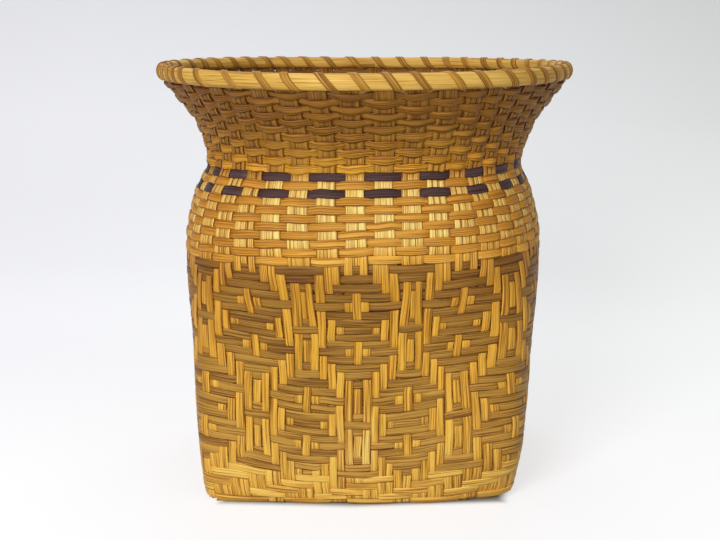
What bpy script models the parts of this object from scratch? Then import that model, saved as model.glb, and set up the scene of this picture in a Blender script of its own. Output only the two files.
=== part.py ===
"""A splint basket: a square woven base that rises to a round, flared rim.

Metres, +Z up. The underside of the base is on z = 0 and the basket's axis is Z.
A turn is a share of the way round the wall: 0 is the middle of the front (-Y) and
it grows towards +X. A row is one course of weaving, counted up the wall's slope.
"""

import math

import bmesh
import bpy
import numpy as np
from mathutils import Vector

# Widths across the middle of the wall, and the heights where they occur
BASE_WIDTH = 0.2530
BELLY_WIDTH = 0.2920
NECK_WIDTH = 0.2608
RIM_DIAMETER = 0.3410
BELLY_HEIGHT = 0.2050
NECK_HEIGHT = 0.2670
HOOP_BOTTOM = 0.3325

# How square the wall is there: 2 is a circle, and more is squarer
BASE_SQUARENESS = 7.5
BELLY_SQUARENESS = 3.1
NECK_SQUARENESS = 2.6
RIM_SQUARENESS = 2.0

# Between two of those places: how far up, how far out and how far rounded
BASE_TO_BELLY_SHARES = ((0.22, 0.41, 0.34), (0.585, 0.71, 0.75))
BELLY_TO_NECK_SHARES = ((0.565, 0.42, 0.55),)
NECK_TO_RIM_SHARES = ((0.50, 0.30, 0.55), (0.75, 0.585, 0.8))

# The groups of stakes stand further apart on the sides than at the corners
NECK_SPREAD_SHARE = 0.18
RIM_SPREAD_SHARE = 0.11

# Stakes: in threes above the belly, so each side has a dozen uprights
SIDE_NAMES = ("front", "right", "back", "left")
GROUPS_PER_SIDE = 12
UPRIGHT_WIDTH_SHARE = 0.5
STAKE_THICKNESS = 0.0009
PANEL_GAP = 0.0005

# Courses of weaving
FOOT_ROWS = 4
TWILL_ROWS = 27
SHOULDER_ROWS = 8
NECK_ROWS = 3
FLARE_ROWS = 11
ROOM_UNDER_HOOPS = 0.0050
ROW_GAP = 0.0005
COURSE_THICKNESS = 0.0012
WEAVER_THICKNESS = 0.0009
CROSSING_CLEARANCE = 0.0007
SLIDING_GAP = 0.0004

# Levels where the wall bends, in rows
TWILL_BANDS = 2
UPPER_BAND_ROWS = (4, 4, 3, 4, 4, 3)

# Floor
BASE_THICKNESS = 0.0024
BASE_GAP = 0.0005

# Rim: two half-round hoops with the uprights held between them
HOOP_HEIGHT = 0.0127
HOOP_THICKNESS = 0.0047
HOOP_CLEARANCE = 0.0005
HOOP_SEGMENTS = 70
HOOP_OUTLINE_SHARES = ((0, -1), (0.5, -1), (1, -0.5), (1, 0.5), (0.5, 1), (0, 1))
UPRIGHT_TOP_GAP = 0.0008

# Lashing: a flat splint wound round both hoops, once for each group of stakes
LASHING_THICKNESS = 0.0008
LASHING_WIDTH = 0.0056
LASHING_CLEARANCE = 0.0004
LASHING_NAMES = ("front_rim_lashing", "back_rim_lashing")
LEAST_LASHING_GAP = 0.0004

# Colours, as linear RGB
NATURAL = (0.62, 0.40, 0.13)
TWILL_BROWN = (0.30, 0.17, 0.055)
TAN = (0.55, 0.31, 0.09)
DARK = (0.075, 0.045, 0.05)
FLARE_TAN = (0.45, 0.26, 0.06)
HOOP_YELLOW = (0.66, 0.43, 0.11)
LASHING_BROWN = (0.42, 0.24, 0.07)
DRY_ROUGHNESS = 0.62

GROUPS = GROUPS_PER_SIDE * len(SIDE_NAMES)
UPPER_ROWS = SHOULDER_ROWS + NECK_ROWS + FLARE_ROWS
LOWER_ROWS = FOOT_ROWS + TWILL_ROWS
ROWS = LOWER_ROWS + UPPER_ROWS
HOOP_TOP = HOOP_BOTTOM + HOOP_HEIGHT
SLOPE_SAMPLES = 800
RING_SAMPLES = 1440


def clear_scene():
    for item in list(bpy.data.objects):
        bpy.data.objects.remove(item, do_unlink=True)


def make_material(name, colour):
    material = bpy.data.materials.new(name)
    material.use_nodes = True
    shader = material.node_tree.nodes["Principled BSDF"]
    shader.inputs["Base Color"].default_value = (*colour, 1)
    shader.inputs["Roughness"].default_value = DRY_ROUGHNESS
    shader.inputs["Metallic"].default_value = 0
    material.diffuse_color = (*colour, 1)
    return material


def smooth(at, places, values):
    """A smooth curve through the values that has no bumps of its own between them."""
    places, values = np.asarray(places, float), np.asarray(values, float)
    rises = np.diff(values) / np.diff(places)
    slopes = np.concatenate([rises[:1], np.zeros(len(rises) - 1), rises[-1:]])
    for i in range(1, len(rises)):
        if rises[i - 1] * rises[i] > 0:
            slopes[i] = 2 * rises[i - 1] * rises[i] / (rises[i - 1] + rises[i])
    span = np.clip(np.searchsorted(places, at) - 1, 0, len(rises) - 1)
    length = places[span + 1] - places[span]
    s = (at - places[span]) / length
    start = (1 + 2 * s) * (1 - s) ** 2 * values[span] + s * (1 - s) ** 2 * length * slopes[span]
    end = s**2 * (3 - 2 * s) * values[span + 1] + s**2 * (s - 1) * length * slopes[span + 1]
    return start + end


def profile_knots():
    """Height, half width and squareness at the base, belly, neck and rim and between."""
    stations = (
        (0, BASE_WIDTH / 2, BASE_SQUARENESS),
        (BELLY_HEIGHT, BELLY_WIDTH / 2, BELLY_SQUARENESS),
        (NECK_HEIGHT, NECK_WIDTH / 2, NECK_SQUARENESS),
        (HOOP_BOTTOM, RIM_DIAMETER / 2, RIM_SQUARENESS),
    )
    spans = (BASE_TO_BELLY_SHARES, BELLY_TO_NECK_SHARES, NECK_TO_RIM_SHARES)
    knots = []
    for low, high, shares in zip(stations, stations[1:], spans):
        knots.append(low)
        for row in shares:
            knots.append(tuple(a + (b - a) * share for a, b, share in zip(low, high, row)))
    knots.append(stations[-1])
    return np.array(knots).T


KNOT_HEIGHTS, KNOT_HALVES, KNOT_SQUARES = profile_knots()
SLOPE_HEIGHTS = np.linspace(0, HOOP_BOTTOM, SLOPE_SAMPLES + 1)
SLOPE_HALVES = smooth(SLOPE_HEIGHTS, KNOT_HEIGHTS, KNOT_HALVES)
SLOPE_STEPS = np.hypot(np.diff(SLOPE_HEIGHTS), np.diff(SLOPE_HALVES))
SLOPE_LENGTHS = np.concatenate([[0], np.cumsum(SLOPE_STEPS)])
ROW_PITCH = (SLOPE_LENGTHS[-1] - ROOM_UNDER_HOOPS) / ROWS


class Ring:
    """One level of the wall, with places on it measured along its length."""

    def __init__(self, height, half, squareness, spread):
        angle = np.linspace(0, math.tau, RING_SAMPLES + 1)
        reach = np.abs(np.cos(angle)) ** squareness + np.abs(np.sin(angle)) ** squareness
        reach = half / reach ** (1 / squareness)
        self.x = reach * np.sin(angle)
        self.y = -reach * np.cos(angle)
        steps = np.hypot(np.diff(self.x), np.diff(self.y))
        self.lengths = np.concatenate([[0], np.cumsum(steps)])
        self.height = height
        self.spread = spread

    def point(self, turn):
        sides = len(SIDE_NAMES)
        wave = math.sin(math.tau * sides * turn) / (math.tau * sides)
        along = ((turn + self.spread * wave) % 1) * self.lengths[-1]
        x = np.interp(along, self.lengths, self.x)
        y = np.interp(along, self.lengths, self.y)
        return Vector((x, y, self.height))


def ring_at(height):
    half = float(smooth(height, KNOT_HEIGHTS, KNOT_HALVES))
    squareness = float(smooth(height, KNOT_HEIGHTS, KNOT_SQUARES))
    heights = (0, BELLY_HEIGHT, NECK_HEIGHT, HOOP_BOTTOM)
    spread = np.interp(height, heights, (0, 0, NECK_SPREAD_SHARE, RIM_SPREAD_SHARE))
    return Ring(height, half, squareness, float(spread))


def wall_levels():
    """The rows at which the wall bends, and its ring at each."""
    rows = [0, FOOT_ROWS]
    rows += [FOOT_ROWS + TWILL_ROWS * band / TWILL_BANDS for band in range(1, TWILL_BANDS + 1)]
    for count in UPPER_BAND_ROWS:
        rows.append(rows[-1] + count)
    rings = []
    for row in rows:
        height = float(np.interp(row * ROW_PITCH, SLOPE_LENGTHS, SLOPE_HEIGHTS))
        rings.append(ring_at(height))
    rim = (RIM_DIAMETER / 2, RIM_SQUARENESS, RIM_SPREAD_SHARE)
    rings.append(Ring(HOOP_BOTTOM, *rim))
    rings.append(Ring(HOOP_TOP - UPRIGHT_TOP_GAP, *rim))
    rows += [ROWS + 1, ROWS + 2]
    return rows, rings


LEVEL_ROWS, LEVEL_RINGS = wall_levels()
TURN_STEP_SHARE = 0.002


def wall_point(turn, row, depth):
    """The place on the wall at this turn and row, moved outwards by depth."""
    band = int(np.clip(np.searchsorted(LEVEL_ROWS, row, "right") - 1, 0, len(LEVEL_ROWS) - 2))
    low, high = LEVEL_RINGS[band], LEVEL_RINGS[band + 1]
    share = (row - LEVEL_ROWS[band]) / (LEVEL_ROWS[band + 1] - LEVEL_ROWS[band])
    bottom, top = low.point(turn), high.point(turn)
    if depth == 0:
        return bottom.lerp(top, share)
    along = low.point(turn + TURN_STEP_SHARE) - low.point(turn - TURN_STEP_SHARE)
    along += high.point(turn + TURN_STEP_SHARE) - high.point(turn - TURN_STEP_SHARE)
    outwards = along.cross(top - bottom).normalized()
    return bottom.lerp(top, share) + depth * outwards


def new_grid(columns, rows):
    """A grid of faces, and the column and row of each of its points."""
    mesh = bmesh.new()
    bmesh.ops.create_grid(mesh, x_segments=columns, y_segments=rows, size=1)
    places = {}
    for point in mesh.verts:
        column = round((point.co.x + 1) / 2 * columns)
        row = round((point.co.y + 1) / 2 * rows)
        places[point] = (column, row)
    return mesh, places


def finish(mesh, name, colour, thickness=0, offset=0):
    """Makes the object, with its walls thickened about their middle."""
    bmesh.ops.recalc_face_normals(mesh, faces=mesh.faces)
    data = bpy.data.meshes.new(name)
    mesh.to_mesh(data)
    mesh.free()
    data.materials.append(make_material(name, colour))
    item = bpy.data.objects.new(name, data)
    bpy.context.scene.collection.objects.link(item)
    if thickness:
        shell = item.modifiers.new("thickness", "SOLIDIFY")
        shell.thickness = thickness
        shell.offset = offset
        shell.use_even_offset = True
    return item


def close_seam(mesh):
    bmesh.ops.remove_doubles(mesh, verts=mesh.verts, dist=ROW_GAP / GROUPS)


def side_turns(side):
    """The turns of one side's edges and of both edges of each of its uprights."""
    first = side * GROUPS_PER_SIDE - GROUPS_PER_SIDE // 2 + 1
    seam = PANEL_GAP / 2 / (BASE_WIDTH * len(SIDE_NAMES))
    turns = [(first - 0.5) / GROUPS + seam]
    for group in range(first, first + GROUPS_PER_SIDE):
        turns.append((group - UPRIGHT_WIDTH_SHARE / 2) / GROUPS)
        turns.append((group + UPRIGHT_WIDTH_SHARE / 2) / GROUPS)
    turns.append((first + GROUPS_PER_SIDE - 0.5) / GROUPS - seam)
    return turns


def add_stakes(side):
    """One side's stakes: laid edge to edge below, then gathered into uprights."""
    turns = side_turns(side)
    mesh, places = new_grid(len(turns) - 1, len(LEVEL_ROWS) - 1)
    between = []
    for face in mesh.faces:
        column = min(places[point][0] for point in face.verts)
        level = min(places[point][1] for point in face.verts)
        if column % 2 == 0 and LEVEL_ROWS[level] >= LOWER_ROWS:
            between.append(face)
    for point, (column, level) in places.items():
        point.co = wall_point(turns[column], LEVEL_ROWS[level], 0)
    bmesh.ops.delete(mesh, geom=between, context="FACES")
    finish(mesh, f"{SIDE_NAMES[side]}_stakes", NATURAL, STAKE_THICKNESS)


def group_edge_turns():
    turns = []
    for group in range(GROUPS):
        turns.append((group - UPRIGHT_WIDTH_SHARE / 2) / GROUPS)
        turns.append((group + UPRIGHT_WIDTH_SHARE / 2) / GROUPS)
    return turns


def add_courses(name, first_row, last_row, colour):
    """A closed band of courses that wraps the stakes from one row to another."""
    turns = group_edge_turns()
    turns.append(turns[0] + 1)
    gap = ROW_GAP / 2 / ROW_PITCH
    rows = [row for row in LEVEL_ROWS if first_row < row < last_row]
    rows = [first_row + (gap if first_row else 0)] + rows + [last_row - gap]
    depth = STAKE_THICKNESS / 2 + SLIDING_GAP + COURSE_THICKNESS / 2
    mesh, places = new_grid(len(turns) - 1, len(rows) - 1)
    for point, (column, level) in places.items():
        point.co = wall_point(turns[column], rows[level], depth)
    close_seam(mesh)
    finish(mesh, name, colour, COURSE_THICKNESS)


def weave_reach():
    """How far a weaver swings either side of the stakes to clear an upright's edges."""
    pitch = NECK_WIDTH * math.pi / GROUPS
    sagitta = pitch**2 / (4 * NECK_WIDTH)
    needed = (STAKE_THICKNESS + WEAVER_THICKNESS) / 2 + CROSSING_CLEARANCE + sagitta
    return needed / (1 - UPRIGHT_WIDTH_SHARE)


def add_weaver(name, row, colour):
    """One round of over-one, under-one weaving, a row above the one below it."""
    gap = ROW_GAP / 2 / ROW_PITCH
    edges = (row + gap, row + 1 - gap)
    reach = weave_reach()
    mesh, places = new_grid(GROUPS, 1)
    for point, (group, edge) in places.items():
        over = (group + row - LOWER_ROWS) % 2
        point.co = wall_point(group / GROUPS, edges[edge], reach if over else -reach)
    close_seam(mesh)
    finish(mesh, name, colour, WEAVER_THICKNESS)


def add_upper_weavers():
    row = LOWER_ROWS
    for number in range(SHOULDER_ROWS):
        add_weaver(f"shoulder_weaver_{number + 1}", row, TAN)
        row += 1
    for name, colour in (("lower_dark_weaver", DARK), ("tan_weaver", TAN), ("upper_dark_weaver", DARK)):
        add_weaver(name, row, colour)
        row += 1
    for number in range(FLARE_ROWS):
        add_weaver(f"flare_weaver_{number + 1}", row, FLARE_TAN)
        row += 1


def add_base():
    """The woven floor, cut to the wall's outline at its foot."""
    turns = group_edge_turns()
    mesh = bmesh.new()
    made = bmesh.ops.create_circle(mesh, cap_ends=True, segments=len(turns), radius=1)
    inset = STAKE_THICKNESS / 2 + BASE_GAP
    for point, turn in zip(made["verts"], turns):
        edge = wall_point(turn, 0, -inset)
        point.co = (edge.x, edge.y, 0)
    floor = mesh.faces[:]
    made = bmesh.ops.extrude_face_region(mesh, geom=floor)
    top = [item for item in made["geom"] if isinstance(item, bmesh.types.BMVert)]
    bmesh.ops.translate(mesh, verts=top, vec=(0, 0, BASE_THICKNESS))
    finish(mesh, "base_mat", NATURAL)


def add_hoop(name, side):
    """A half-round hoop, flat against the uprights: side is 1 outside, -1 inside."""
    flat = STAKE_THICKNESS / 2 + HOOP_CLEARANCE
    middle = HOOP_BOTTOM + HOOP_HEIGHT / 2
    mesh = bmesh.new()
    points = []
    for out_share, up_share in HOOP_OUTLINE_SHARES:
        reach = RIM_DIAMETER / 2 + side * (flat + out_share * HOOP_THICKNESS)
        points.append(mesh.verts.new((reach, 0, middle + up_share * HOOP_HEIGHT / 2)))
    edges = [mesh.edges.new(pair) for pair in zip(points, points[1:] + points[:1])]
    bmesh.ops.spin(
        mesh,
        geom=points + edges,
        axis=(0, 0, 1),
        cent=(0, 0, 0),
        angle=math.tau,
        steps=HOOP_SEGMENTS,
        use_merge=True,
    )
    close_seam(mesh)
    finish(mesh, name, HOOP_YELLOW)


def lashing_loop():
    """The loop round both hoops, as steps out from the uprights and up from the middle.

    It is the hoops' common outline, moved out by the same distance on all its faces.
    """
    clear = LASHING_CLEARANCE + LASHING_THICKNESS / 2
    face = STAKE_THICKNESS / 2 + HOOP_CLEARANCE
    shoulder = Vector(HOOP_OUTLINE_SHARES[4])
    cheek = Vector(HOOP_OUTLINE_SHARES[3])
    size = Vector((HOOP_THICKNESS, HOOP_HEIGHT / 2))
    slant = (cheek - shoulder) * size
    square = Vector((-slant.y, slant.x)).normalized()
    flat = face + shoulder.x * size.x + clear * (1 - square.y) / square.x
    low = cheek.y * size.y + clear * (1 - square.x) / square.y
    wide = face + size.x + clear
    high = size.y + clear
    right = [(flat, high), (wide, low), (wide, -low), (flat, -high)]
    return right + [(-out, up) for out, up in reversed(right)]


def rim_turn(turn):
    """The angle on the rim of this turn, spread as the uprights are."""
    sides = len(SIDE_NAMES)
    return math.tau * turn + RIM_SPREAD_SHARE * math.sin(math.tau * sides * turn) / sides


def add_lashing(half):
    """A splint that winds down outside the hoops and up inside, between the uprights.

    Both of its ends are tucked in under the hoops.
    """
    loop = lashing_loop()
    loops = GROUPS // len(LASHING_NAMES)
    first = half * loops - loops // 2
    start = len(loop) // 2
    mesh, places = new_grid(loops * len(loop) - 1, 1)
    middle = HOOP_BOTTOM + HOOP_HEIGHT / 2
    half_turn = LASHING_WIDTH / 2 / (RIM_DIAMETER / 2)
    edges = ({}, {})
    for point, (step, edge) in places.items():
        out, up = loop[(start + step) % len(loop)]
        turns = (start + step + 0.5) / len(loop)
        angle = rim_turn((first + turns) / GROUPS) + (half_turn if edge else -half_turn)
        reach = RIM_DIAMETER / 2 + out
        point.co = (reach * math.sin(angle), -reach * math.cos(angle), middle + up)
        edges[edge][step] = point.co.copy()
    report_gap(LASHING_NAMES[half], edges, len(loop))
    finish(mesh, LASHING_NAMES[half], LASHING_BROWN, LASHING_THICKNESS)


def report_gap(name, edges, loop_steps):
    """Prints the least gap between neighbouring loops, measured on their edges' points."""
    near, far = edges
    gaps = [(far[step] - near[step + loop_steps]).length for step in far if step + loop_steps in near]
    print(f"{name}: least gap to itself {min(gaps):.4f} m, kept over {LEAST_LASHING_GAP:.4f} m")


def build():
    clear_scene()
    add_base()
    for side in range(len(SIDE_NAMES)):
        add_stakes(side)
    add_courses("base_courses", 0, FOOT_ROWS, NATURAL)
    add_courses("twill_courses", FOOT_ROWS, LOWER_ROWS, TWILL_BROWN)
    add_upper_weavers()
    add_hoop("outer_rim_hoop", 1)
    add_hoop("inner_rim_hoop", -1)
    for half in range(len(LASHING_NAMES)):
        add_lashing(half)


build()
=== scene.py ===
import math
from functools import partial

import bmesh
import bpy
import numpy as np
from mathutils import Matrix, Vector


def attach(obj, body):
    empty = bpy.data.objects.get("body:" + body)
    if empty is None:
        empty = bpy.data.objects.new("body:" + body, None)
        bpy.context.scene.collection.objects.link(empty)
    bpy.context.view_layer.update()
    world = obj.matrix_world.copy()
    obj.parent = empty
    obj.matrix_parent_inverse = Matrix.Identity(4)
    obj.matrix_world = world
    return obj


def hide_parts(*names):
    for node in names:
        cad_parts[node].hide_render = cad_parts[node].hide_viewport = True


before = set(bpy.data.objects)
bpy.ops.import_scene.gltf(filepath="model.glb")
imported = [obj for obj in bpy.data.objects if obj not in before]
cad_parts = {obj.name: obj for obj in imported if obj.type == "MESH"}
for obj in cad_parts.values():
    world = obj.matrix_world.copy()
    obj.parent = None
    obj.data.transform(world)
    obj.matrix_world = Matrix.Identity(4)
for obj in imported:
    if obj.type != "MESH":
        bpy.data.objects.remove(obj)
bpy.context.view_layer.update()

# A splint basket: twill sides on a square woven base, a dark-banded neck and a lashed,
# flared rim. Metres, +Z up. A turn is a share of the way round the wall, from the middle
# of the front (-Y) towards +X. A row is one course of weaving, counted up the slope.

# The wall: its height, half its width, and how square it is there, where 2 is round
BASE_HALF = 0.125
RIM_DIAMETER = 0.341
RIM_RADIUS = RIM_DIAMETER / 2
BELLY_HEIGHT = 0.205
NECK_HEIGHT = 0.267
HOOP_BOTTOM = 0.3325
WALL_KNOTS = (
    (0, BASE_HALF, 14),
    (0.0451, 0.13212, 10.294),
    (0.119925, 0.13835, 5.825),
    (BELLY_HEIGHT, 0.14725, 3.1),
    (0.24003, 0.140847, 2.825),
    (NECK_HEIGHT, 0.1304, 2.6),
    (0.29975, 0.141628, 2.27),
    (0.316125, 0.155262, 2.12),
    (HOOP_BOTTOM, RIM_RADIUS, 2.0),
)
RIM_SPREAD_SHARE = 0.11
SIDES = ("front", "right", "back", "left")
SIDE_WAVES = math.tau * len(SIDES)
SLOPE_SAMPLES = 800
RING_SAMPLES = 1440

# Courses
FOOT_ROWS = 5
TWILL_ROWS = 27
BAND_ROWS = TWILL_ROWS // 3
SHOULDER_ROWS = 8
NECK_ROWS = 3
FLARE_ROWS = 11
LOWER_ROWS = FOOT_ROWS + TWILL_ROWS
ROWS = LOWER_ROWS + SHOULDER_ROWS + NECK_ROWS + FLARE_ROWS
FLARE_START = ROWS - FLARE_ROWS
ROOM_UNDER_HOOPS = 0.005

# Rim
HOOP_HEIGHT = 0.0127
HOOP_THICKNESS = 0.0041
HOOP_FLAT = 0.0007
INNER_HOOP_RISE = 0.0026
HOOP_STEPS = 180
HOOP_SECTION_STEPS = 12
HOOP_ROUNDNESS = 0.8
HOOP_WAVER = 0.0005
HOOP_WAVES = ((2, 0.7, 1), (5, 1, 0.6))
STAKE_END_DROP = 0.0008
RIM_SADDLE = 0.0024
SADDLE_START_ROW = 41
LASHING_CLEARANCE = 0.0002
LASHING_LOOPS = 24
LASHING_LEAN_SHARE = -0.03
LASHING_PHASE = 0.56
LASHING_STEPS_PER_LOOP = 28
LASHING_ROUNDING = 4
OUTSIDE_PHASE = 0.73
BACK_TUG = 0.05
# How far each loop in front is pulled along the rim from its even place, in loops
FRONT_TUGS = (0, -0.1, -0.3, -0.6, -1.0, -1.3, -1.05, -0.35, 0, -0.13, 0.03, 0.02, -0.05)
FRONT_TUGS += (-0.16, 0.09, 0.15, 0.5, 0.62, 0.57, 0.5, 0.4, 0.3, 0.2, 0.1, 0, 0)

# Splints
STAKES = 144
GROUP_STAKES = 3
GROUPS = STAKES // GROUP_STAKES
SIDE_STAKES = STAKES // len(SIDES)
STAKE_THICKNESS = 0.001
WEAVER_THICKNESS = 0.001
LASHING_THICKNESS = 0.0008
SEAM_REACH = WEAVER_THICKNESS / 1000
STAKE_WIDTH_ROWS = (0, 4, 16, 30, 36, 42, 54)
STAKE_WIDTHS = (0.0063, 0.0063, 0.0064, 0.0061, 0.005, 0.0043, 0.0046)
LEAST_WIDTH_SHARE = 0.78
CROWDED_TUCK = 0.0035
LASHING_WIDTH = 0.007
STAKE_WIDTH_PLAY = 0.03
NARROW_GAP_SHARE = 0.65
GROUP_GAP_SHARE = 1.01
ACROSS_SHARES = (-1, -0.58, 0.58, 1)
STAKE_EDGE_DROP = 0.0003
LANE_SHARE = 0.4

# How far the splints stand out or in where they cross
OUTER_SHIFT = 0.001
TWILL_SWING = 0.00065
UPPER_SWING = 0.001
TWILL_BULGE = 0.0006
LONGEST_FLOAT = 6
CROSSING = (0.2, 0.8)
CREST_MIDDLE = 0.5
SWELL_MIDDLE = 0.65
# Kinds of weaver, by their first row: width, bulge outside a group, drop of the edges, and
# how much wider they are where they show and where they are hidden
WEAVER_KINDS = (
    (0, 1.03, 0, 0.00045, 0, 0),
    (LOWER_ROWS, 1.03, 0.0009, 0.00045, 0.05, 0),
    (LOWER_ROWS + SHOULDER_ROWS, 1.13, 0.0009, 0.00045, 0.05, 0),
    (FLARE_START, 1.08, 0.0028, 0.0011, 0.3, 0.24),
)
SIDE_WANDER = 0.0003
ROW_WANDER = 0.00025
FLOAT_LEAN = 0.00035
FLOAT_SHIFT_SHARE = 0.5
WAVER_CYCLES = (2, 5, 9, 14)
WAVER_SUM = 1.6
WARP_CYCLES = (2, 3, 5, 8, 12, 17, 23)
WARP_RISE_CYCLES = 5
WARP_SUM = 1.5
WARP_TURN = 0.0011
WARP_ROW = 0.001
WARP_DEPTH = 0.0006
UPPER_CALM_SHARE = 0.55
UPPER_CALM_ROWS = (31, 38)
GATHERED_CALM_SHARE = 0.6

# Rows over which things begin and end
WARP_ROWS = (0, 4), (ROWS - 6, ROWS)
SHIFT_ROWS = (0, 1), (50, 54.5)
SWING_ROWS = (0.1, 0.6), (ROWS - 0.5, ROWS + 0.5)
STAKE_LEAN_ROWS = (0, 2), (LOWER_ROWS - 2, LOWER_ROWS)
WEAVER_LEAN_ROWS = (0, 5)
UPPER_START_ROWS = (LOWER_ROWS - 1, LOWER_ROWS + 1)
GATHER_ROWS = (22, 32)

# Where the lowest course turns under the base
BEND_HEIGHT = 0.0036
FLOOR_MIDDLE = 0.0013
TURNED_UNDER = 0.006
FLOOR_SWING = 0.0005
FLOOR_LAP = 0.0045
FLOOR_PERIOD = 4
FLOOR_OVER = 2

STAKE_STEPS_PER_ROW = 3
WEAVER_STEPS_PER_STAKE = 4
TABLE_STEPS_PER_ROW = 8
TABLE_TURNS = 1152
SPLICE_TURNS = (0.35, 0.65)

# The weave isn't even. In rows: how far each course sits from even spacing in the middle
# of a side, how far it is higher at the corners, and how far it tilts up to the right.
# Then how the stakes crowd towards the middle of a side, and how the body twists and leans
CREEP_ROWS = (0, 1.5, 2.5, 4.5, 5.5, 9, 12.5, 16, 19, 22, 26, 30, 34, 40, 43, 46, 52, 54)
CREEP_STEPS = (0.3, -0.33, -0.75, -1.12, -1.4, -1.7, -1.9, -1.6, -1.2, -1.14, -1.45, -0.92)
CREEP_STEPS += (-0.57, -0.6, -0.4, -0.24, 0.25, 0.42)
FAN_ROWS = (0, 0.6, 1.5, 3.5, 6.5, 12, 15.5, 18.5, 23.5, 27.5, 30.5, 34)
FAN_STEPS = (0, 0.1, 0.9, 1.6, 2.1, 2.3, 1.9, 1.3, 1.1, 0.8, 0.35, 0)
FAN_POWER = 1.2
TILT_ROWS = (0, 3, 9, 17, 25, 29, 34, 38, 47, 54)
TILT_STEPS = (0, 0, 0.3, 0.3, 0.1, 0.3, 0.7, 0.5, 0.35, 0)
BACK_RISE = 0.45
BACK_RISE_ROWS = (ROWS - 5, ROWS - 1)
DRIFT_START_ROWS = (-0.2, 0.3)
RIM_BACK_LIFT = 0.001
SPREAD_HEIGHTS = (0, 0.05, 0.11, 0.155, 0.18, BELLY_HEIGHT, NECK_HEIGHT, HOOP_BOTTOM)
SPREAD_SHARES = (-0.12, -0.12, -0.09, -0.03, 0.015, 0.045, 0.22, RIM_SPREAD_SHARE)
CORNER_SPREAD_SHARE = 0.5
TWIST_SHARE = 0.0014
TWIST_ROWS = (25, 37)
RIM_LEAN = -0.0014
LEAN_HEIGHTS = (0, 0.13, 0.2, 0.25, 0.29, HOOP_BOTTOM)
LEANS = (0.0015, 0.0018, -0.0002, -0.001, 0.0002, RIM_LEAN)

# Places where the weave has been pulled: the turn and row, how far sideways and up in
# metres and rows, and how wide and high the pull reaches
PULLS = (
    (-0.08, 2, 0, -0.35, 0.04, 4), (0.075, 2, 0.002, -0.2, 0.03, 4),
    (-0.055, 8, -0.0032, 0, 0.045, 8), (-0.027, 10, 0.0015, 0, 0.012, 5),
    (0.03, 9, -0.0018, 0, 0.01, 8), (0.053, 8, 0.0016, 0, 0.01, 8),
    (-0.045, 14, 0, -0.3, 0.03, 9), (-0.06, 23, 0, -0.3, 0.02, 3),
    (-0.11, 17, 0.002, 0, 0.03, 8), (0.085, 17, -0.0026, 0, 0.045, 9),
    (0.117, 18, -0.0048, 0, 0.028, 6), (0.092, 24, -0.0035, 0, 0.03, 5),
    (0.03, 29, 0.0022, 0, 0.02, 4), (-0.044, 27, 0.002, 0, 0.006, 4),
    (-0.031, 27, -0.002, 0, 0.006, 4), (0.037, 27, 0.002, 0, 0.006, 4),
    (0.05, 27, -0.002, 0, 0.006, 4), (0, 35, 0.0015, 0, 0.06, 4),
    (0.105, 34, 0.003, 0, 0.03, 5), (-0.1, 34, -0.002, 0, 0.03, 5),
    (0.175, 43, 0.011, 0, 0.06, 8), (-0.135, 43, -0.0096, 0, 0.042, 8),
    (0.085, 50, 0.0066, 0, 0.045, 6), (0, 50, -0.0018, 0, 0.02, 5),
    (-0.08, 48, -0.0048, 0, 0.028, 5),
)

# The front edge of the base isn't straight: how far back it is from left to right, and the
# lift of its right corner
FRONT_PLACES = (-0.125, -0.11, 0, 0.11, 0.125)
FRONT_STEPS = (-0.009, -0.008, -0.007, 0.0078, 0.011)
RIGHT_CORNER_LIFT = 0.0036
LIFT_POWER = 3
FRONT_FADE_HEIGHT = 0.055

# Twill: the step of the pattern in each course, from the shoulder down
TWILL_REPEAT = 12
TWILL_PERIOD = 6
TWILL_OVER = 3
TWILL_STEPS = (-1, 0, 1, 2, 3, 2, 1, 0, 1, 2, 3, 2, 1, 0)
TWILL_STEPS += (-1, -2, -3, -2, -1, 0, -1, -2, -3, -2, -1, 0, 1)
FOOT_PERIOD = 8
FOOT_OVER = 4
FOOT_SHIFT = 2
EDGE_PERIOD = 8
EDGE_OVER = 6

rng = np.random.default_rng(7)


# ---- the wall ----


def stack(*parts):
    """Points or pairs from their separate numbers."""
    return np.stack(parts, axis=-1)


def smooth(at, places, values):
    """A smooth curve through the values that has no bumps of its own between them."""
    places, values = np.asarray(places, float), np.asarray(values, float)
    rises = np.diff(values) / np.diff(places)
    slopes = np.concatenate([rises[:1], np.zeros(len(rises) - 1), rises[-1:]])
    for i in range(1, len(rises)):
        if rises[i - 1] * rises[i] > 0:
            slopes[i] = 2 * rises[i - 1] * rises[i] / (rises[i - 1] + rises[i])
    span = np.clip(np.searchsorted(places, at) - 1, 0, len(rises) - 1)
    length = places[span + 1] - places[span]
    s = (at - places[span]) / length
    start = (1 + 2 * s) * (1 - s) ** 2 * values[span] + s * (1 - s) ** 2 * length * slopes[span]
    end = s**2 * (3 - 2 * s) * values[span + 1] + s**2 * (s - 1) * length * slopes[span + 1]
    return start + end


def ease(share, start=0.0, end=1.0):
    """0 before the start and 1 after the end, turning smoothly between them."""
    s = np.clip((np.asarray(share, float) - start) / (end - start), 0, 1)
    return s * s * (3 - 2 * s)


def between(row, starts, ends):
    """1 between two rows, turning smoothly to 0 below and above."""
    return ease(row, *starts) * (1 - ease(row, *ends))


def hump(cycles, angle):
    """0 at the front and 1 half a wave on, for a number of waves round the basket."""
    return (1 - np.cos(cycles * angle)) / 2


def saddle(angle):
    """How far the rim rises towards its two sides and its back."""
    return RIM_SADDLE * hump(2, angle) + RIM_BACK_LIFT * hump(1, angle)


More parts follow.
